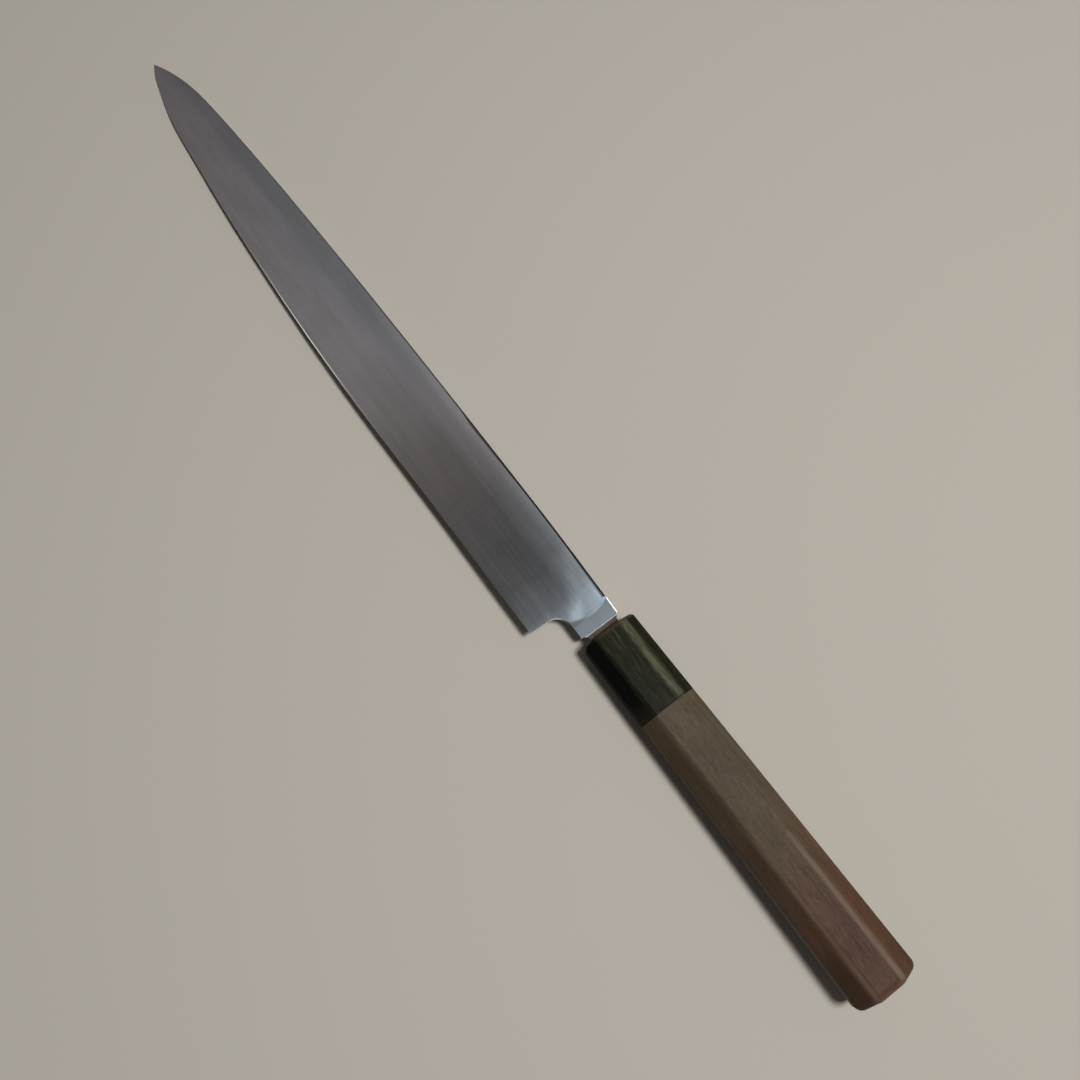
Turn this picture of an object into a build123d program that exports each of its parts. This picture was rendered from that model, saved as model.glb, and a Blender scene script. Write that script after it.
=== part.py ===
from build123d import *
from math import atan2, degrees
import os

# Yanagiba: a long slicing knife, ground on one face only, with an octagonal wooden handle.
# It is built along the axis of its handle: X runs from the tip of the blade to the butt,
# Y points to the spine and Z out of the flat, hollow-ground face. At the end the whole knife
# is laid down as it lies on a table, flat face up. Its blade is heavier than its handle, so it
# rests near its tip and on the front of the ferrule, with its butt a little off the table.

# Driving sizes, in millimetres
blade_length = 301.2
spine_rise = 8.65
edge_drop = 23.6
neck_thickness = 4.0
neck_length = 13.3
neck_drop = 9.35
tang_length = 100.0
handle_length = 156.3
ferrule_length = 35.6
handle_height_front = 22.4
handle_height_butt = 25.9
handle_width_front = 19.6
handle_width_butt = 22.2

# The blade at stations from its tip to its heel: the place as a share of blade_length, the
# height of the spine as a share of spine_rise, the depth of the edge as a share of edge_drop,
# how far up the blade the bevel reaches as a share of the blade's height there, and the
# thickness as a share of neck_thickness. The last row lies past the neck.
station_shares = (
    (0.0, -0.418, 0.159, 0.70, 0.12),
    (0.006, -0.315, 0.202, 0.70, 0.18),
    (0.0146, -0.17, 0.26, 0.66, 0.25),
    (0.0325, 0.07, 0.336, 0.62, 0.33),
    (0.0624, 0.345, 0.445, 0.57, 0.385),
    (0.102, 0.52, 0.558, 0.52, 0.425),
    (0.162, 0.652, 0.645, 0.49, 0.475),
    (0.2415, 0.768, 0.75, 0.47, 0.53),
    (0.351, 0.873, 0.857, 0.45, 0.60),
    (0.50, 0.96, 0.959, 0.44, 0.69),
    (0.666, 0.994, 1.0, 0.435, 0.78),
    (0.799, 0.994, 0.99, 0.43, 0.85),
    (0.915, 0.967, 1.0, 0.43, 0.92),
    (1.0, 0.903, 1.0, 0.43, 0.965),
    (1.0725, 0.81, 1.0, 0.43, 1.0),
)
edge_land = 0.15
bevel_extension_share = 0.2
spine_ease = 0.9
spine_ease_tip_share = 0.15
spine_ease_extension_share = 1.0
spine_ease_past_heel = 5.7

# The shallow hollow of the flat face: its greatest depth, the flat rim left along the spine
# and the edge, where it starts and ends, and the lengths over which it deepens and runs out.
# Where it runs out the rim narrows away, and the hollow's end is a bow across the neck.
hollow_depth = 0.35
hollow_rim = 2.2
hollow_start = 14.0
hollow_entry = 60.0
hollow_past_heel = 8.2
hollow_run_out = 22.0
hollow_end_bow = 2.4
hollow_rows = 61
hollow_columns = 9
hollow_reach_share = 1.2

# The hard cutting steel: its thickness behind the flat face and the reach and bow of its end
cutting_steel_thickness = 1.2
cutting_steel_past_heel = 8.4
cutting_steel_end_bow = 2.6

# The heel, the choil behind it and the two shoulders of the neck
choil_rake = 0.4
choil_radius = 6.1
shoulder_setback = 3.7
edge_shoulder_reach = 2.6
spine_shoulder_reach = 1.2

# The tang, which lies a little towards the edge from the axis of the handle
tang_height = 12.8
tang_thickness = 3.6
tang_offset = 0.7
tang_end_height = 6.4
tang_end_thickness = 2.4
tang_clearance = 0.15

# The octagonal handle: its corner facets and its softened edges. From the joint to the butt the
# long edges are worn ever rounder, at the butt by a little more than the round of the end itself.
corner_facet_front = 5.4
corner_facet_butt = 7.2
long_edge_round = 0.8
ferrule_front_chamfer = 1.1
butt_round = 3.2
butt_wear = 0.4

# The dowel inside, which joins ferrule and handle, and the seal in the mouth of the ferrule
dowel_diameter = 14.4
dowel_in_ferrule = 27.0
tang_past_dowel = 26.4
glue_gap = 0.1
seal_depth = 2.0
seal_margin = 1.3

overrun = 5.0

flat_face_z = neck_thickness / 2
shoulder_x = blade_length + neck_length
tang_x = shoulder_x + edge_shoulder_reach
ferrule_x = shoulder_x + shoulder_setback
joint_x = ferrule_x + ferrule_length
butt_x = ferrule_x + handle_length
dowel_in_handle = tang_length - ferrule_length - tang_past_dowel
to_heel = [row for row in station_shares if row[0] <= 1]


def blend(start, end, share):
    return start + (end - start) * share


def spine_y(row):
    return row[1] * spine_rise


def edge_y(row):
    return -row[2] * edge_drop


def underside_z(row):
    return flat_face_z - row[4] * neck_thickness


def smooth(rows, point_of):
    """A smooth curve through one point at each station."""
    places = [row[0] / rows[-1][0] for row in rows]
    return Edge.make_spline([point_of(row) for row in rows], parameters=places)


def station_at(x):
    """The station shares at any place along the blade."""
    for low, high in zip(station_shares, station_shares[1:]):
        if x <= high[0] * blade_length:
            share = (x / blade_length - low[0]) / (high[0] - low[0])
            return [blend(a, b, share) for a, b in zip(low, high)]


def outline():
    """Blade, neck and the start of the tang, seen square to the flat face."""
    tang_top = tang_height / 2 - tang_offset
    tang_bottom = -tang_height / 2 - tang_offset
    spine = smooth(station_shares, lambda row: (row[0] * blade_length, spine_y(row)))
    edge = smooth(to_heel, lambda row: (row[0] * blade_length, edge_y(row)))
    heel = edge.position_at(1)
    spine_end = spine.position_at(1)
    arc_start = (blade_length + choil_rake, -neck_drop - choil_radius)
    arc_end = (blade_length + choil_rake + choil_radius, -neck_drop)
    neck_low = (shoulder_x, -neck_drop)
    tang_low = (tang_x, tang_bottom)
    lines = Curve() + spine + edge + Line(edge.position_at(0), spine.position_at(0))
    lines += Line(heel, arc_start)
    lines += RadiusArc(arc_start, arc_end, choil_radius)
    lines += Line(arc_end, neck_low)
    lines += RadiusArc(neck_low, tang_low, neck_drop + tang_bottom)
    lines += Polyline(tang_low, (spine_end.X, tang_bottom), spine_end)
    plate = extrude(make_face(lines), amount=neck_thickness)
    step = (shoulder_x, tang_top + spine_shoulder_reach)
    step_foot = (shoulder_x + spine_shoulder_reach, tang_top)
    above = spine_rise + overrun
    notch = Line((shoulder_x, above), step) + RadiusArc(step, step_foot, spine_shoulder_reach)
    notch += Polyline(step_foot, (spine_end.X + overrun, tang_top), (spine_end.X + overrun, above))
    notch += Line((spine_end.X + overrun, above), (shoulder_x, above))
    plate -= extrude(make_face(notch), amount=neck_thickness)
    return Pos(0, 0, -flat_face_z) * plate


def below_underside():
    """The space under the blade's unground back, which thins towards the tip."""
    top = smooth(station_shares, lambda row: (row[0] * blade_length, 0, underside_z(row)))
    start = top.position_at(0)
    end = top.position_at(1)
    deep = -flat_face_z - overrun
    ring = Curve() + top + Line(start, start - (overrun, 0, 0))
    ring += Polyline(start - (overrun, 0, 0), (-overrun, 0, deep), (end.X + overrun, 0, deep))
    ring += Polyline((end.X + overrun, 0, deep), end + (overrun, 0, 0), end)
    return extrude(make_face(ring), amount=edge_drop + overrun, both=True)


def ruled_cutter(rows, first_point, second_point, towards):
    """A cutter whose working face is ruled between two curves, carried on towards a side."""
    face = Face.make_surface_from_curves(smooth(rows, first_point), smooth(rows, second_point))
    return Solid.extrude(face, Vector(*towards))


def bevel_cutter():
    """The space under the ground bevel, from past the edge to past the bevel's top line."""

    def across(row, share):
        low = (edge_y(row), flat_face_z - edge_land)
        high = (blend(edge_y(row), spine_y(row), row[3]), underside_z(row))
        return row[0] * blade_length, blend(low[0], high[0], share), blend(low[1], high[1], share)

    return ruled_cutter(
        station_shares,
        lambda row: across(row, -bevel_extension_share),
        lambda row: across(row, 1 + bevel_extension_share),
        (0, 0, -neck_thickness),
    )


def spine_cutter(side):
    """The long bevel that softens the spine on its upper side (1) or under side (-1)."""

    def across(row, share):
        ease = spine_ease * blend(spine_ease_tip_share, 1, row[0])
        corner_z = flat_face_z if side > 0 else underside_z(row)
        y = blend(spine_y(row) - ease, spine_y(row), share)
        return row[0] * blade_length, y, corner_z - side * ease * share

    cutter = ruled_cutter(
        station_shares,
        lambda row: across(row, -spine_ease_extension_share),
        lambda row: across(row, 1 + spine_ease_extension_share),
        (0, overrun, side * overrun),
    )
    past_its_end = Pos(blade_length + spine_ease_past_heel, 0, 0) * Box(
        blade_length, blade_length, blade_length, align=(Align.MIN, Align.CENTER, Align.CENTER)
    )
    return cutter - past_its_end


def hollow_cutter():
    """The long shallow hollow of the flat face, which runs out in a curve in the neck."""
    end = blade_length + hollow_past_heel
    start_x = hollow_start - hollow_entry / hollow_rows
    end_x = end + hollow_run_out / hollow_rows
    grid = []
    for i in range(hollow_rows):
        x = blend(start_x, end_x, i / (hollow_rows - 1))
        top = spine_y(station_at(x))
        low = edge_y(station_at(x))
        middle = (top + low) / 2
        entry = min((x - hollow_start) / hollow_entry, 1)
        rim = hollow_rim * min((end - x) / hollow_run_out, 1)
        half = (top - low) / 2 - rim
        line = []
        for j in range(hollow_columns):
            across = blend(-hollow_reach_share, hollow_reach_share, j / (hollow_columns - 1))
            run_out = min((end - hollow_end_bow * across**2 - x) / hollow_run_out, 1)
            inside = 1 - across**2
            ends = (1 - (1 - entry) ** 2) * (1 - (1 - run_out) ** 2)
            depth = hollow_depth * (inside * ends if inside > 0 else inside * abs(ends))
            line.append((x, middle + across * half, flat_face_z - depth))
        grid.append(line)
    face = Face.make_surface_from_array_of_points(grid)
    return Solid.extrude(face, Vector(0, 0, overrun))


def tang(clearance):
    """The tapered tang, or with a clearance the slot that it fits."""
    sections = []
    for x, height, thickness in (
        (tang_x, tang_height, tang_thickness),
        (ferrule_x, tang_height, tang_thickness),
        (ferrule_x + tang_length + clearance, tang_end_height, tang_end_thickness),
    ):
        high = height / 2 - tang_offset + clearance
        low = -height / 2 - tang_offset - clearance
        z = thickness / 2 + clearance
        corners = [(x, high, z), (x, high, -z), (x, low, -z), (x, low, z)]
        sections.append(make_face(Polyline(*corners, close=True)))
    return loft(sections, ruled=True)


def blade_with_tang():
    blade = outline() - below_underside() - bevel_cutter()
    blade -= spine_cutter(1)
    blade -= spine_cutter(-1)
    blade -= hollow_cutter()
    past_tang_start = Pos(tang_x, 0, 0) * Box(
        blade_length, blade_length, blade_length, align=(Align.MIN, Align.CENTER, Align.CENTER)
    )
    return blade - past_tang_start + tang(0)


def cutting_steel_block():
    """The space of the hard steel layer: everything near the flat face, up to a bowed end."""
    end_x = blade_length + cutting_steel_past_heel
    top_y = spine_rise + overrun
    low_y = -edge_drop - overrun
    bow_middle = (end_x, (spine_rise - neck_drop) / 2)
    far_top = (end_x - cutting_steel_end_bow, spine_rise)
    far_low = (end_x - cutting_steel_end_bow, -neck_drop)
    ring = ThreePointArc(far_low, bow_middle, far_top)
    ring += Polyline(far_top, (far_top[0], top_y), (-overrun, top_y), (-overrun, low_y))
    ring += Polyline((-overrun, low_y), (far_low[0], low_y), far_low)
    block = extrude(make_face(ring), amount=cutting_steel_thickness + overrun)
    return Pos(0, 0, flat_face_z - cutting_steel_thickness) * block


def octagon(x):
    """The eight corners of the handle's section at a place along it."""
    share = (x - ferrule_x) / handle_length
    y = blend(handle_height_front, handle_height_butt, share) / 2
    z = blend(handle_width_front, handle_width_butt, share) / 2
    facet = blend(corner_facet_front, corner_facet_butt, share)
    quarter = [(y - facet, z), (y, z - facet)]
    half = quarter + [(a, -b) for a, b in reversed(quarter)]
    ring = half + [(-a, -b) for a, b in half]
    return [Vector(x, a, b) for a, b in ring]


def octagon_bar(start_x, end_x):
    """A tapered bar of eight plane sides between two places along the handle."""
    front = octagon(start_x)
    back = octagon(end_x)
    faces = [Face(Wire.make_polygon(front, close=True)), Face(Wire.make_polygon(back, close=True))]
    for i in range(len(front)):
        j = (i + 1) % len(front)
        faces.append(Face(Wire.make_polygon([front[i], back[i], back[j], front[j]], close=True)))
    return Solid(Shell(faces))


def worn_section(x, edge_round):
    """The handle's section at a place along it, with its corners rounded."""
    section = make_face(Polyline(*octagon(x), close=True))
    return fillet(section.vertices(), edge_round)


def along_handle(shape, start_x):
    """Lay a shape made along Z on the handle's axis, with its lower end at start_x."""
    low = shape.bounding_box().min.Z
    return Pos(start_x, 0, 0) * Rot(0, 90, 0) * Pos(0, 0, -low) * shape


def dowel_bore():
    bore = Cylinder(dowel_diameter / 2 + glue_gap, dowel_in_ferrule + dowel_in_handle + 2 * glue_gap)
    return along_handle(bore, joint_x - dowel_in_ferrule - glue_gap)


def seal_space():
    """The widened mouth of the ferrule, which the seal fills round the tang."""
    height = tang_height + 2 * seal_margin
    width = tang_thickness + 2 * seal_margin
    mouth = Pos(ferrule_x, -tang_offset, 0) * Box(
        seal_depth, height, width, align=(Align.MIN, Align.CENTER, Align.CENTER)
    )
    return fillet(mouth.edges().filter_by(Axis.X), seal_margin)


def horn_ferrule():
    bar = octagon_bar(ferrule_x, joint_x)
    bar = chamfer(bar.faces().sort_by(Axis.X)[0].edges(), ferrule_front_chamfer)
    sides = [edge for edge in bar.edges() if edge.bounding_box().size.X > ferrule_length / 2]
    bar = fillet(sides, long_edge_round)
    return bar - dowel_bore() - tang(tang_clearance) - seal_space()


def wooden_handle():
    front = worn_section(joint_x, long_edge_round)
    butt = worn_section(butt_x, butt_round + butt_wear)
    bar = loft([front, butt], ruled=True)
    bar = fillet(bar.faces().sort_by(Axis.X)[-1].edges(), butt_round)
    return bar - dowel_bore() - tang(tang_clearance)


def handle_dowel():
    length = dowel_in_ferrule + dowel_in_handle
    dowel = along_handle(Cylinder(dowel_diameter / 2, length), joint_x - dowel_in_ferrule)
    return dowel - tang(tang_clearance)


def tang_seal():
    return seal_space() - tang(0)


def laid_down(pieces):
    """Lay the knife on a table: it touches under the front of the ferrule and near the tip."""
    touch_x = ferrule_x + ferrule_front_chamfer
    touch_z = min(corner.Z for corner in octagon(touch_x))
    tilt = min(atan2(underside_z(row) - touch_z, touch_x - row[0] * blade_length) for row in to_heel)
    turned = {name: Rot(0, -degrees(tilt), 0) * shape.solid() for name, shape in pieces.items()}
    box = Compound([shape for shape in turned.values()]).bounding_box()
    middle = (box.min + box.max) / 2
    return {name: Pos(-middle.X, -middle.Y, -box.min.Z) * shape for name, shape in turned.items()}


def knife():
    blade = blade_with_tang()
    block = cutting_steel_block()
    return {
        "cutting_steel_layer": blade & block,
        "soft_iron_blade_and_tang": blade - block,
        "horn_ferrule": horn_ferrule(),
        "wooden_handle": wooden_handle(),
        "handle_dowel": handle_dowel(),
        "tang_seal": tang_seal(),
    }


os.makedirs("parts", exist_ok=True)
for name, shape in laid_down(knife()).items():
    export_step(shape, f"parts/{name}.step")
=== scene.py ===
from math import radians

import bpy
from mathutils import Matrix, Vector

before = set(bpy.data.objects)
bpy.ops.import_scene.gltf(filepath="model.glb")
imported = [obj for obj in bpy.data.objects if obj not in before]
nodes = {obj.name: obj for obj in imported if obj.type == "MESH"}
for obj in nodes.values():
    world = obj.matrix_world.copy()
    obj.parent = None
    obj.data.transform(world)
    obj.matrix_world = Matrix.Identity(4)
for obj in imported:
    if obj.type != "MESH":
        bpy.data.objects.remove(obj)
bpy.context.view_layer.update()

# The knife's own frame: X from the tip to the butt, Y to the spine, Z out of the flat face
KNIFE_ORIGIN = Vector((-0.2373, 0.00536, -0.00101))
KNIFE_TILT = radians(1.941)
MILLIMETRE = 0.001

# Camera, in the row's frame
CAMERA_PLACE = (0.1138, -0.0468, 0.4143)
CAMERA_TURN = (radians(13.0), radians(0.52), radians(52.98))
CAMERA_LENS = 36.07
CAMERA_NEAR = 0.01

# Surroundings, as linear greys: how pale they look, and the levels overhead by the direction's X
BACKDROP = 0.75
OVERHEAD = (
    (-1, 0.08), (-0.72, 0.16), (-0.5, 0.22), (-0.25, 0.15),
    (-0.1, 0.15), (0.1, 0.12), (0.3, 0.08), (1, 0.08),
)

# Places along the knife, in millimetres
HEEL_X = 301.2
EASE_END_X = 306.9
HOLLOW_END_X = 309.4
BLADE_END_X = 310
NECK_END_X = 314.5
FERRULE_X = 318.2
JOINT_X = 353.8
BUTT_X = 474.5

# Lines on the flat face, as X and Y: the edge, the spine, and how far the painted dark reflection along
# the spine reaches from the spine
EDGE_LINE = (
    (0, -3.75), (1.8, -4.77), (4.4, -6.14), (9.8, -7.93), (18.8, -10.5), (30.7, -13.17), (48.8, -15.22),
    (72.7, -17.7), (105.7, -20.23), (150.6, -22.63), (200.6, -23.6), (240.7, -23.36), (275.6, -23.6),
    (HEEL_X, -23.6),
)
SPINE_LINE = ((0, 8.6), (240.7, 8.6), (275.6, 8.365), (HEEL_X, 7.81), (323, 7.0))
DARK_RIM_REACH = ((0, 0), (208, 0), (220, 1.3), (236, 1.2), (254, 0.8), (282, 0.8), (292, 1.25), (310, 1.4))

# The bow where the hollow ends: its middle's Y, how fast it bends away, and the most that it does
BOW_MIDDLE_Y = -0.35
BOW_BEND = 0.0296
BOW_MOST = 2.6

# How light the steel is along the blade, where it is a painted reflection, past the hollow, and at most,
# since a colour above 1 clips
STEEL_REFLECTION_TONES = (
    (0, 0.46), (60, 0.53), (145, 0.62), (172, 0.65), (195, 0.57), (219, 0.455), (236, 0.40), (252, 0.33),
    (268, 0.29), (284, 0.27), (292, 0.35), (299, 0.42), (303, 0.53), (306, 0.66), (312, 0.62),
)
NECK_TONE = 0.58
BRIGHTEST = 0.98

# A painted reflection: how much lighter the spine's side is, and darker the edge's, once the base level
# below is taken off
SIDE_REFLECTION_ALONG = ((0, 0.03), (150, 0.02), (185, 0.03), (225, 0.12), (BLADE_END_X, 0.15))
SIDE_REFLECTION_BASE = 0.1

# A painted reflection: the brighter stretch by the spine, along and across the blade
GLOW_ALONG = (
    (0, 0), (152, 0), (175, 0.25), (195, 0.55), (215, 0.92),
    (236, 0.95), (262, 1.35), (284, 1.25), (292, 0.85), (308, 0.3),
)
GLOW_ACROSS = ((-4.5, 0), (-3, 0.1), (1, 0.33), (4, 0.45), (6.4, 0.97))

# A painted highlight, the bright slanting patch before the neck: where it crosses the middle, its slant,
# and its strength
HIGHLIGHT_PATCH_X = 296
HIGHLIGHT_PATCH_SLANT = 0.53
HIGHLIGHT_PATCH_ALONG = ((280, 0), (293, 0.3), (300, 0.3), (306, 0.55))

# Where the honed line of the edge shows as a painted highlight, and the steel's painted reflection hue by
# its share of the blade
HONED_HIGHLIGHT_ALONG = ((0, 0), (85, 0), (130, 1), (155, 1), (205, 0), (BLADE_END_X, 0))
STEEL_REFLECTION_HUES = (
    (0, (1.0, 0.93, 0.94)),
    (0.45, (0.98, 0.955, 1.0)),
    (0.76, (1.0, 0.93, 0.91)),
    (0.92, (0.91, 0.96, 1.0)),
    (1, (0.75, 0.89, 1.0)),
)

# How far below the handle the heart of the tree lay, for the curve of its rings
PITH_DEPTH = 58


def linear(red, green, blue):
    """An sRGB colour, 0 to 255, as linear values."""
    shares = [value / 255 for value in (red, green, blue)]
    return tuple(s / 12.92 if s <= 0.04045 else ((s + 0.055) / 1.055) ** 2.4 for s in shares)


class Shader:
    """One node tree being built. A value that goes into a socket is a number, a colour or a socket."""

    def __init__(self, tree):
        self.tree = tree
        tree.nodes.clear()

    def node(self, kind, values=(), **settings):
        made = self.tree.nodes.new("ShaderNode" + kind)
        for name, value in settings.items():
            setattr(made, name, value)
        for name, value in dict(values).items():
            self.plug(made.inputs[name], value)
        return made

    def plug(self, socket, value):
        if isinstance(value, bpy.types.NodeSocket):
            self.tree.links.new(value, socket)
        elif socket.type == "RGBA" and len(value) == 3:
            socket.default_value = (*value, 1)
        else:
            socket.default_value = value

    def math(self, operation, first, second=0.0):
        made = self.node("Math", {0: first, 1: second}, operation=operation)
        return made.outputs[0]

    def times(self, first, *others):
        for other in others:
            first = self.math("MULTIPLY", first, other)
        return first

    def plus(self, first, *others):
        for other in others:
            first = self.math("ADD", first, other)
        return first

    def minus(self, first, second):
        return self.math("SUBTRACT", first, second)

    def distance(self, value, middle):
        """How far value is from middle, on either side."""
        return self.math("ABSOLUTE", self.minus(value, middle))

    def scaled(self, colour, share):
        return self.node("VectorMath", {0: colour, 3: share}, operation="SCALE").outputs[0]

    def span(self, value, low, high, start=0.0, end=1.0):
        """0 to 1, or start to end, while value goes smoothly from low to high."""
        made = self.node(
            "MapRange",
            {"Value": value, "From Min": low, "From Max": high, "To Min": start, "To Max": end},
            interpolation_type="SMOOTHSTEP",
        )
        return made.outputs["Result"]

    def mix(self, share, first, second, blend_type="MIX"):
        made = self.node("Mix", {0: share, 6: first, 7: second}, data_type="RGBA", blend_type=blend_type)
        return made.outputs[2]

    def stretch(self, vector, sizes):
        made = self.node("VectorMath", {0: vector, 1: sizes}, operation="DIVIDE")
        return made.outputs[0]

    def noise(self, vector, sizes, detail=3.0, roughness=0.5, distortion=0.0):
        """Noise of about 0 to 1, whose blots have these sizes along X, Y and Z."""
        made = self.node(
            "TexNoise",
            {
                "Vector": self.stretch(vector, sizes),
                "Scale": 1.0,
                "Detail": detail,
                "Roughness": roughness,
                "Distortion": distortion,
            },
        )
        return made.outputs["Fac"]

    def ramp(self, value, stops):
        """A colour that follows value through (place, colour) stops."""
        made = self.node("ValToRGB", {"Fac": value})
        elements = made.color_ramp.elements
        while len(elements) < len(stops):
            elements.new(0.5)
        for element, (place, colour) in zip(elements, stops):
            element.position = place
            element.color = (*colour, 1)
        return made.outputs["Color"]

    def along(self, value, stops):
        """A grey level that follows value through (place, level) stops. No level is below 0."""
        low, high = stops[0][0], stops[-1][0]
        top = max(level for _, level in stops)
        share = self.math("DIVIDE", self.minus(value, low), high - low)
        greys = [((place - low) / (high - low), (level / top,) * 3) for place, level in stops]
        return self.times(self.ramp(share, greys), top)

    def curve(self, value, points):
        """A number that follows value smoothly through (place, number) points."""
        lowest = min(number for _, number in points)
        height = max(number for _, number in points) - lowest
        start, reach = points[0][0], points[-1][0] - points[0][0]
        share = self.math("DIVIDE", self.minus(value, start), reach)
        made = self.node("FloatCurve", {"Value": share})
        knots = made.mapping.curves[0].points
        while len(knots) < len(points):
            knots.new(0.5, 0.5)
        for knot, (place, number) in zip(knots, points):
            knot.location = ((place - start) / reach, (number - lowest) / height)
        made.mapping.update()
        return self.plus(self.times(made.outputs[0], height), lowest)

    def bump(self, height, distance, strength=1.0, normal=None):
        values = {"Height": height, "Distance": distance, "Strength": strength}
        if normal:
            values["Normal"] = normal
        return self.node("Bump", values).outputs["Normal"]


def knife_shader(name):
    """A material's shader, with the place on the knife in millimetres and its X, Y and Z."""
    material = bpy.data.materials.new(name)
    material.use_nodes = True
    shader = Shader(material.node_tree)
    place = shader.node("TexCoord").outputs["Object"]
    moved = shader.node("VectorMath", {0: place, 1: KNIFE_ORIGIN}, operation="SUBTRACT").outputs[0]
    turned = shader.node(
        "Mapping",
        {"Vector": moved, "Rotation": (0, KNIFE_TILT, 0), "Scale": (1 / MILLIMETRE,) * 3},
    ).outputs[0]
    parts = shader.node("SeparateXYZ", {0: turned}).outputs
    return material, shader, turned, parts


def finished(shader, **values):
    """The Principled shader and the output of a material."""
    names = {key.replace("_", " "): value for key, value in values.items()}
    surface = shader.node("BsdfPrincipled", names)
    shader.node("OutputMaterial", {"Surface": surface.outputs[0]})


def scratched(shader, place):
    """Fine polishing lines along the blade and faint ones across it, each about 0 to 1."""
    lengthwise = shader.noise(place, (40, 0.22, 0.22), detail=4, roughness=0.6)
    crosswise = shader.noise(place, (0.28, 14, 14), detail=3, roughness=0.6)
    return lengthwise, crosswise


def uneven(shader, tone, patterns):
    """tone made lighter and darker by each pattern, by its share in all."""
    for pattern, share in patterns:
        tone = shader.times(tone, shader.span(pattern, 0.25, 0.75, 1 - share / 2, 1 + share / 2))
    return tone


def edge_reflections_painted(shader, tone, x):
    """The two softened edges of the spine get a painted dark reflection, and the polished face of the
    choil a painted bright highlight.
    """
    normal = shader.node("SeparateXYZ", {0: shader.node("NewGeometry").outputs["True Normal"]}).outputs
    sideways = shader.span(normal["Y"], 0.3, 0.5)
    slanted = shader.span(shader.math("ABSOLUTE", normal["Z"]), 0.3, 0.5)
    eased = shader.times(sideways, slanted, shader.span(x, EASE_END_X + 0.2, EASE_END_X))
    tone = shader.times(tone, shader.span(eased, 0, 1, 1, 0.12))
    on_choil = shader.span(x, BLADE_END_X + 1, BLADE_END_X - 1)
    choil_highlight = shader.times(shader.span(normal["X"], 0.5, 0.8), on_choil)
    return shader.plus(shader.times(tone, shader.minus(1, choil_highlight)), shader.times(choil_highlight, 0.95))


def blade_reflections_painted(shader, x, y, blots):
    """How light the steel is by place, as painted reflections: its run along the blade, its two sides,
    its glow and its highlight patch.
    """
    upper = shader.span(y, -5.5, 3)
    ripple = shader.times(shader.minus(blots, 0.5), 8)
    brighter = shader.plus(shader.times(upper, shader.span(x, 270, 290, 0, 5)), ripple)
    tone = shader.along(shader.plus(x, brighter), STEEL_REFLECTION_TONES)
    side_reflection = shader.minus(shader.along(x, SIDE_REFLECTION_ALONG), SIDE_REFLECTION_BASE)
    signed_side_reflection = shader.times(side_reflection, shader.span(upper, 0, 1, -1, 1))
    tone = shader.times(tone, shader.plus(signed_side_reflection, 1))
    glow = shader.times(shader.along(x, GLOW_ALONG), shader.along(y, GLOW_ACROSS))
    aslant = shader.plus(y, shader.times(shader.minus(x, HIGHLIGHT_PATCH_X), HIGHLIGHT_PATCH_SLANT))
    in_highlight_patch = shader.span(shader.math("ABSOLUTE", aslant), 4.5, 0.5)
    highlight_patch = shader.times(in_highlight_patch, shader.along(x, HIGHLIGHT_PATCH_ALONG))
    return shader.times(tone, shader.plus(glow, 1, highlight_patch))


def hollow_ended(shader, tone, x, y):
    """Past the bow where the hollow ends, the neck's flat has one even tone."""
    bow = shader.times(shader.math("POWER", shader.distance(y, BOW_MIDDLE_Y), 2), BOW_BEND)
    bow = shader.math("MINIMUM", bow, BOW_MOST)
    past = shader.span(shader.plus(x, bow), HOLLOW_END_X - 1.0, HOLLOW_END_X)
    return shader.mix(past, tone, (NECK_TONE,) * 3)


def rim_painted_dark(shader, tone, x, y):
    """The narrow rim along the spine is darker near the heel: a painted dark reflection."""
    from_spine = shader.minus(shader.along(x, SPINE_LINE), y)
    inner = shader.minus(from_spine, shader.along(x, DARK_RIM_REACH))
    before_neck = shader.span(x, EASE_END_X + 0.2, EASE_END_X - 0.4)
    rim_darkening = shader.times(shader.span(inner, 0.2, -0.2), before_neck)
    return shader.times(tone, shader.span(rim_darkening, 0, 1, 1, 0.35))


def steel_reflection_hue(shader, x, y):
    """Painted reflection tints: greys that turn from warm to cool before the neck, and are cooler towards
    the spine.
    """
    hue = shader.ramp(shader.math("DIVIDE", x, BLADE_END_X), STEEL_REFLECTION_HUES)
    tint = shader.mix(shader.span(y, -16, 6), (1.03, 0.99, 0.985), (0.98, 1.0, 1.03))
    return shader.mix(1.0, hue, tint, blend_type="MULTIPLY")


def honed_line_highlight(shader, x, y, lengthwise):
    """Where the polished line along the edge shows, painted as a bright highlight."""
    from_edge = shader.minus(y, shader.curve(x, EDGE_LINE))
    line = shader.times(shader.span(from_edge, 0.55, 0.35), shader.span(lengthwise, 0.2, 0.5))
    return shader.times(line, shader.along(x, HONED_HIGHLIGHT_ALONG))


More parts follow.
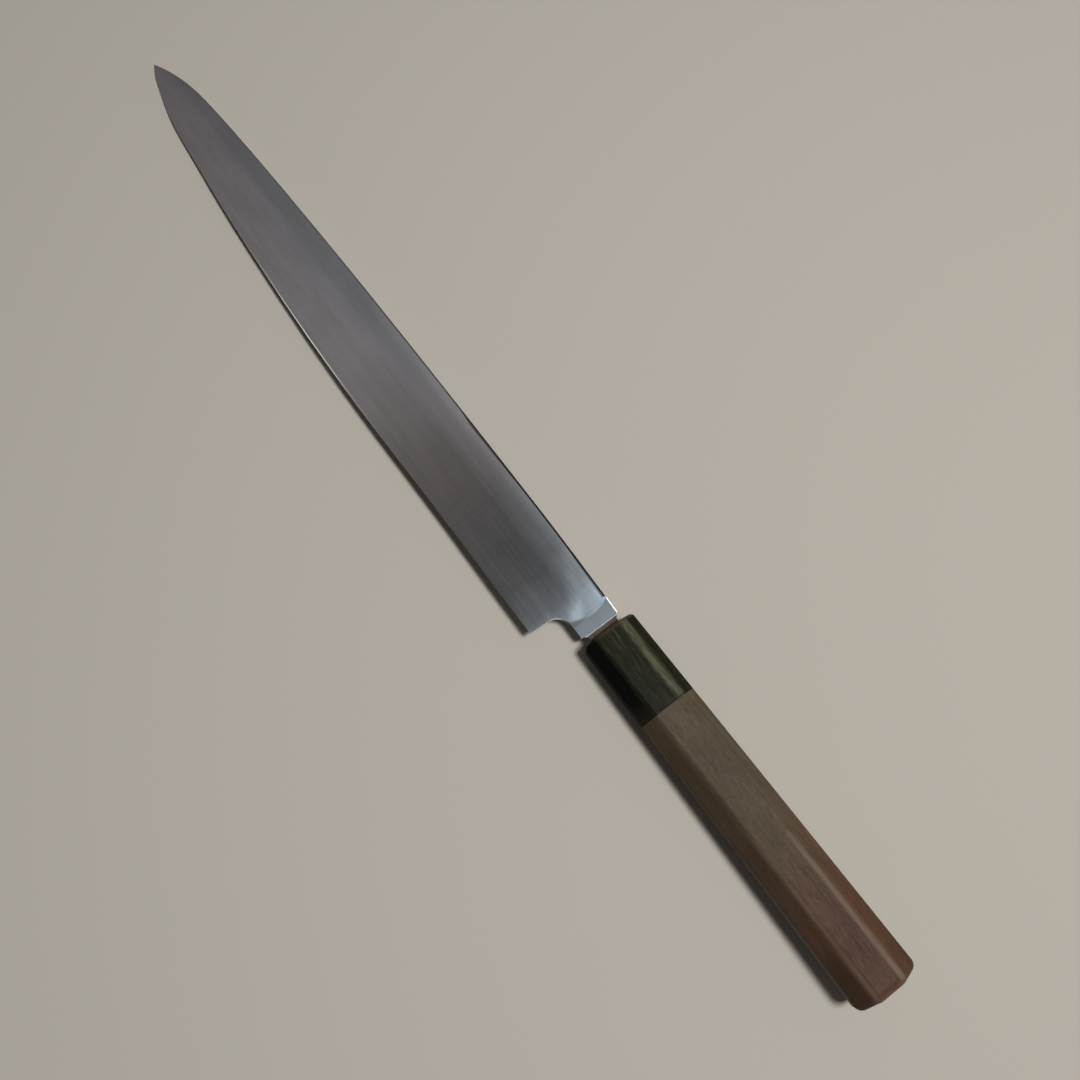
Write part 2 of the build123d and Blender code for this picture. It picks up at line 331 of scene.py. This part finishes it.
def cutting_steel():
    """Finely scratched hard steel, its tone set by place as painted reflections, with the honed line of
    its edge painted as a highlight.
    """
    material, shader, place, (x, y, _) = knife_shader("hard_steel")
    lengthwise, crosswise = scratched(shader, place)
    bands = shader.noise(place, (130, 2.6, 60), detail=2)
    blots = shader.noise(place, (24, 9, 9), detail=2)
    lines = shader.noise(place, (0.9, 45, 45), detail=4, roughness=0.7)
    tone = blade_reflections_painted(shader, x, y, blots)
    tone = hollow_ended(shader, tone, x, y)
    tone = rim_painted_dark(shader, tone, x, y)
    tone = uneven(shader, tone, ((bands, 0.07), (blots, 0.10), (lengthwise, 0.07), (crosswise, 0.05)))
    drawn = shader.times(shader.span(lines, 0.25, 0.75, -0.06, 0.06), shader.span(x, 200, 262))
    tone = shader.times(tone, shader.plus(1, drawn))
    tone = shader.math("MINIMUM", edge_reflections_painted(shader, tone, x), BRIGHTEST)
    colour = shader.scaled(steel_reflection_hue(shader, x, y), tone)
    # The honed line along the edge, painted as a bright highlight where it shows
    honed_glint = honed_line_highlight(shader, x, y, lengthwise)
    colour = shader.mix(honed_glint, colour, (0.92, 0.92, 0.92))
    roughness = shader.span(lengthwise, 0.2, 0.8, 0.16, 0.21)
    roughness = shader.plus(roughness, shader.times(honed_glint, 0.3), shader.span(x, 296, 308, 0, 0.035))
    height = shader.plus(shader.times(lengthwise, 0.6), shader.times(lines, 0.4))
    finished(
        shader,
        Base_Color=colour,
        Metallic=1.0,
        Roughness=roughness,
        Normal=shader.bump(height, 0.00001, 0.4),
    )
    return material


def soft_iron():
    """Bright ground iron on the blade, a burnished corner by the neck painted as a bright highlight, and
    dark scale on the tang past the shoulders.
    """
    material, shader, place, (x, y, _) = knife_shader("soft_iron")
    lengthwise, crosswise = scratched(shader, place)
    cloud = shader.noise(place, (18, 5, 5), detail=4, roughness=0.6)
    neck = shader.span(x, 300, 308)
    tone = shader.span(neck, 0, 1, 0.5, 0.55)
    tone = uneven(shader, tone, ((cloud, 0.16), (lengthwise, 0.12), (crosswise, 0.10)))
    tone = edge_reflections_painted(shader, tone, x)
    colour = shader.scaled((0.90, 1.02, 1.12), tone)
    # A burnished corner along the spine by the neck, painted as a bright highlight
    corner_y = shader.span(x, 300, 316, 7.75, 7.2)
    burnished_glint = shader.times(shader.span(y, shader.minus(corner_y, 0.22), corner_y), neck)
    colour = shader.mix(burnished_glint, colour, (0.9, 0.94, 1.0))
    grime = shader.noise(place, (2.2, 2.2, 2.2), detail=5, roughness=0.65)
    scale_colour = shader.ramp(
        grime,
        [(0.25, linear(34, 27, 19)), (0.5, linear(64, 55, 41)), (0.75, linear(92, 80, 62))],
    )
    edge = shader.plus(x, shader.times(grime, 1.2))
    on_tang = shader.span(edge, NECK_END_X + 0.9, NECK_END_X + 1.6)
    colour = shader.mix(on_tang, colour, scale_colour)
    roughness = shader.span(burnished_glint, 0, 1, 0.17, 0.35)
    roughness = shader.mix(on_tang, roughness, (0.7,) * 3)
    height = shader.mix(on_tang, shader.times(lengthwise, 0.1), grime)
    finished(
        shader,
        Base_Color=colour,
        Metallic=shader.minus(1, shader.times(on_tang, 0.8)),
        Roughness=roughness,
        Normal=shader.bump(height, 0.00008, 0.6),
    )
    return material


def horn_colour(shader, x, y, wavy_y, streaks, lower):
    """Olive streaks, a painted pale highlight along the upper ridge, and near black on the lower bevel.
    """
    colour = shader.ramp(
        streaks,
        [
            (0.30, linear(12, 12, 6)),
            (0.47, linear(24, 24, 13)),
            (0.58, linear(35, 34, 19)),
            (0.74, linear(64, 60, 37)),
        ],
    )
    # Painted highlight: a pale band along the upper ridge
    ridge = shader.times(shader.span(wavy_y, 3.4, 5.4), shader.span(y, 8.3, 6.2))
    pale = shader.times(ridge, shader.span(streaks, 0.35, 0.6, 0.4, 0.85))
    colour = shader.mix(pale, colour, linear(91, 91, 71))
    black = shader.mix(shader.span(streaks, 0.5, 0.75), linear(2, 2, 2), linear(15, 13, 9))
    black = shader.mix(shader.span(x, JOINT_X - 10, JOINT_X, 0, 0.8), black, linear(32, 26, 20))
    return shader.mix(lower, colour, black)


def horn():
    """Dark olive horn streaked along its length, with a tan front rim and a dark glue line behind."""
    material, shader, place, (x, y, _) = knife_shader("horn")
    warp = shader.noise(place, (9, 3, 3), detail=3)
    sideways = shader.node("CombineXYZ", {1: shader.times(warp, 2.4)}).outputs[0]
    bent = shader.node("VectorMath", {0: place, 1: sideways}).outputs[0]
    streaks = shader.noise(bent, (11, 0.8, 1.2), detail=6, roughness=0.66, distortion=0.5)
    fibres = shader.noise(bent, (4, 0.16, 0.2), detail=4, roughness=0.6)
    clouds = shader.noise(place, (8, 3.5, 3.5), detail=4, roughness=0.55, distortion=0.6)
    wavy_y = shader.plus(y, shader.times(shader.minus(clouds, 0.5), 2.5))
    lower = shader.span(wavy_y, -5.9, -7.4)
    colour = horn_colour(shader, x, y, wavy_y, streaks, lower)
    colour = shader.scaled(colour, shader.span(fibres, 0.3, 0.7, 0.75, 1.2))
    rim_reach = shader.span(x, FERRULE_X + 1.9, FERRULE_X + 0.5)
    rim = shader.times(rim_reach, shader.span(wavy_y, -8, -3))
    colour = shader.mix(shader.times(rim, 0.6), colour, linear(84, 66, 45))
    glue_line = shader.span(x, JOINT_X - 0.7, JOINT_X - 0.15)
    colour = shader.mix(shader.times(glue_line, 0.7), colour, linear(14, 12, 8))
    height = shader.plus(shader.times(fibres, 0.5), shader.times(streaks, 0.5))
    finished(
        shader,
        Base_Color=colour,
        Roughness=shader.mix(lower, shader.span(clouds, 0.3, 0.7, 0.42, 0.54), (0.8,) * 3),
        Specular_IOR_Level=0.06,
        Normal=shader.bump(height, 0.00010, 0.5),
    )
    return material


def wood_grain(shader, place, x, y, z, fibres, pores):
    """How light the wood is by its rings, fibres, mottle, pores and veins."""
    sway = shader.noise(place, (70, 14, 14), detail=2)
    across = shader.plus(y, shader.times(sway, 5.0))
    depth = shader.plus(z, PITH_DEPTH)
    squares = shader.plus(shader.math("POWER", across, 2), shader.math("POWER", depth, 2))
    lengthwise = shader.math("DIVIDE", x, 60)
    ring_place = shader.node("CombineXYZ", {0: lengthwise, 1: shader.math("SQRT", squares)}).outputs[0]
    rings = shader.noise(ring_place, (1, 1.1, 1), detail=4, roughness=0.6, distortion=0.15)
    mottle = shader.noise(place, (1.6, 1.1, 1.1), detail=3, roughness=0.55)
    veins = shader.noise(place, (22, 0.5, 0.5), detail=3, roughness=0.6, distortion=0.3)
    return shader.times(
        shader.span(rings, 0.3, 0.7, 0.86, 1.12),
        shader.span(fibres, 0.3, 0.7, 0.90, 1.10),
        shader.span(mottle, 0.3, 0.7, 0.92, 1.08),
        shader.span(pores, 0.33, 0.43, 0.58, 1.0),
        shader.span(veins, 0.31, 0.43, 0.66, 1.0),
    )


def wood_wear_and_sheen(shader, colour, x, y, held, drift, fibres):
    """A darker stretch under the palm, a painted pale sheen along the ridges, and darker bevels on both
    sides.
    """
    on_side = shader.span(x, BUTT_X - 0.6, BUTT_X - 3)
    palm = shader.times(held, shader.span(shader.math("ABSOLUTE", y), 6.4, 4.8), on_side)
    colour = shader.mix(palm, colour, (0.60, 0.50, 0.38), blend_type="MULTIPLY")
    # Painted highlight: a pale sheen along the rounded ridges towards the butt
    upper_ridge = shader.span(shader.distance(y, 5.4), 1.5, 0.3)
    lower_ridge = shader.span(shader.distance(y, -6.0), 1.3, 0.2, 0, 0.55)
    sheen_reach_x = shader.times(shader.span(shader.plus(x, drift), 398, 424), on_side)
    wood_ridge_sheen = shader.times(shader.plus(upper_ridge, lower_ridge), sheen_reach_x)
    wood_ridge_sheen = shader.times(wood_ridge_sheen, shader.span(fibres, 0.3, 0.6, 0.5, 1))
    colour = shader.mix(shader.times(wood_ridge_sheen, 0.8), colour, linear(112, 96, 83))
    # Darker along the lower side near the butt
    darker_low_at_butt = shader.times(shader.span(x, 446, 462), shader.span(y, -6.6, -8))
    colour = shader.mix(shader.times(darker_low_at_butt, 0.6), colour, linear(38, 20, 8))
    # The lower bevel is made darker
    lower_bevel_darker = shader.times(shader.span(y, -4.5, -8.5), 0.6)
    colour = shader.mix(lower_bevel_darker, colour, linear(44, 29, 14))
    shaded = shader.times(held, shader.span(y, 6.6, 8))
    return shader.mix(shaded, colour, (0.78, 0.72, 0.62), blend_type="MULTIPLY")


def wood():
    """Worn grey-brown wood with long fine pores, redder and darker where the hand holds it."""
    material, shader, place, (x, y, z) = knife_shader("handle_wood")
    fibres = shader.noise(place, (9, 0.2, 0.2), detail=4, roughness=0.62)
    pores = shader.noise(place, (3.4, 0.16, 0.16), detail=2, roughness=0.5)
    clouds = shader.noise(place, (26, 7, 7), detail=4, roughness=0.55, distortion=0.5)
    drift = shader.times(shader.minus(clouds, 0.5), 60)
    held = shader.span(shader.plus(x, drift), 392, 452)
    fresh = shader.ramp(clouds, [(0.3, linear(74, 64, 49)), (0.7, linear(89, 79, 64))])
    browned = shader.ramp(clouds, [(0.3, linear(80, 53, 40)), (0.7, linear(97, 73, 60))])
    colour = shader.mix(held, fresh, browned)
    colour = shader.scaled(colour, wood_grain(shader, place, x, y, z, fibres, pores))
    colour = wood_wear_and_sheen(shader, colour, x, y, held, drift, fibres)
    joint = shader.span(x, JOINT_X + 0.5, JOINT_X + 0.1)
    colour = shader.mix(shader.times(joint, 0.5), colour, linear(40, 34, 26))
    open_pores = shader.times(shader.span(pores, 0.33, 0.44), 0.7)
    fine = shader.bump(shader.plus(open_pores, shader.times(fibres, 0.3)), 0.00006, 0.4)
    dents = shader.noise(place, (34, 9, 9), detail=2)
    finished(
        shader,
        Base_Color=colour,
        Roughness=shader.mix(held, (0.62,) * 3, (0.5,) * 3),
        Specular_IOR_Level=0.12,
        Normal=shader.bump(dents, 0.0003, 0.6, normal=fine),
    )
    return material


def inner_wood():
    """Plain pale wood with fine fibres."""
    material, shader, place, _ = knife_shader("dowel_wood")
    fibres = shader.noise(place, (12, 0.4, 0.4), detail=4, roughness=0.6)
    colour = shader.ramp(fibres, [(0.3, linear(150, 122, 86)), (0.7, linear(196, 170, 128))])
    finished(shader, Base_Color=colour, Roughness=0.7, Normal=shader.bump(fibres, 0.0001, 0.5))
    return material


def resin():
    """Brown resin, grimy and uneven in gloss."""
    material, shader, place, _ = knife_shader("seal_resin")
    grime = shader.noise(place, (1.1, 0.9, 0.9), detail=5, roughness=0.65)
    colour = shader.ramp(
        grime,
        [(0.3, linear(36, 27, 18)), (0.55, linear(72, 58, 42)), (0.75, linear(104, 88, 66))],
    )
    finished(
        shader,
        Base_Color=colour,
        Roughness=shader.span(grime, 0.3, 0.7, 0.4, 0.65),
        Normal=shader.bump(grime, 0.0002, 0.6),
    )
    return material


def dress(node, material):
    piece = nodes[node]
    piece.data.materials.clear()
    piece.data.materials.append(material)


dress("cutting_steel_layer", cutting_steel())
dress("soft_iron_blade_and_tang", soft_iron())
dress("horn_ferrule", horn())
dress("wooden_handle", wood())
dress("handle_dowel", inner_wood())
dress("tang_seal", resin())


# Floor, light and camera
def seen(shader):
    """1 for what the camera sees, straight or in metal, and 0 for the light that falls on the object."""
    path = shader.node("LightPath").outputs
    straight = shader.math("MAXIMUM", path["Is Camera Ray"], path["Is Transmission Ray"])
    return shader.math("MAXIMUM", straight, path["Is Glossy Ray"])


def plain_floor(size, drop):
    """A matt pale floor just under the object, which fades far away into the surroundings."""
    mesh = bpy.data.meshes.new("floor")
    corners = [(-size, -size, -drop), (size, -size, -drop), (size, size, -drop), (-size, size, -drop)]
    mesh.from_pydata(corners, [], [(0, 1, 2, 3)])
    floor = bpy.data.objects.new("floor", mesh)
    bpy.context.scene.collection.objects.link(floor)
    material = bpy.data.materials.new("floor")
    material.use_nodes = True
    shader = Shader(material.node_tree)
    place = shader.node("TexCoord").outputs["Object"]
    away = shader.node("VectorMath", {0: place}, operation="LENGTH").outputs["Value"]
    near = linear(177, 171, 161)
    plain = {"Base Color": near, "Roughness": 0.9, "Specular IOR Level": 0.1}
    matt = shader.node("BsdfPrincipled", plain).outputs[0]
    faded = shader.mix(shader.span(away, 0.8, 3.2), near, (BACKDROP,) * 3)
    glow = shader.node("Emission", {"Color": faded, "Strength": 1.0}).outputs[0]
    far = shader.times(shader.span(away, 0.34, 0.66), seen(shader))
    both = shader.node("MixShader", {0: far, 1: matt, 2: glow}).outputs[0]
    shader.node("OutputMaterial", {"Surface": both})
    mesh.materials.append(material)


def lamp(name, place, target, size, watts):
    light = bpy.data.lights.new(name, "AREA")
    light.shape = "RECTANGLE"
    light.size, light.size_y = size
    light.energy = watts
    made = bpy.data.objects.new(name, light)
    bpy.context.scene.collection.objects.link(made)
    made.location = place
    made.rotation_euler = (Vector(target) - Vector(place)).to_track_quat("-Z", "Y").to_euler()


def dome(horizon, overhead):
    """Plain surroundings: a pale band round the horizon, and overhead levels by the direction's X."""
    world = bpy.data.worlds.new("surroundings")
    bpy.context.scene.world = world
    world.use_nodes = True
    shader = Shader(world.node_tree)
    direction = shader.node("TexCoord").outputs["Generated"]
    towards = shader.node("SeparateXYZ", {0: direction}).outputs
    edge_side_darker = shader.span(towards["Y"], -0.6, 0, 0.35, 1)
    above = shader.times(shader.along(towards["X"], overhead), edge_side_darker)
    raised_lit = shader.span(towards["Z"], 0.06, 0.28)
    raised_seen = shader.span(towards["Z"], 0.45, 0.68)
    raised = shader.mix(seen(shader), raised_lit, raised_seen)
    level = shader.plus(horizon, shader.times(raised, shader.minus(above, horizon)))
    background = shader.node("Background", {"Color": (1, 1, 1), "Strength": level})
    shader.node("OutputWorld", {"Surface": background.outputs[0]})


plain_floor(size=4, drop=0.0001)
dome(BACKDROP, OVERHEAD)
lamp("key", place=(0.31, 0.27, 1.34), target=(0, 0, 0), size=(0.22, 0.22), watts=17.5)

camera = bpy.data.objects.new("camera", bpy.data.cameras.new("camera"))
bpy.context.scene.collection.objects.link(camera)
camera.location = CAMERA_PLACE
camera.rotation_euler = CAMERA_TURN
camera.data.lens = CAMERA_LENS
camera.data.clip_start = CAMERA_NEAR
bpy.context.scene.camera = camera
bpy.context.scene.view_settings.view_transform = "Standard"
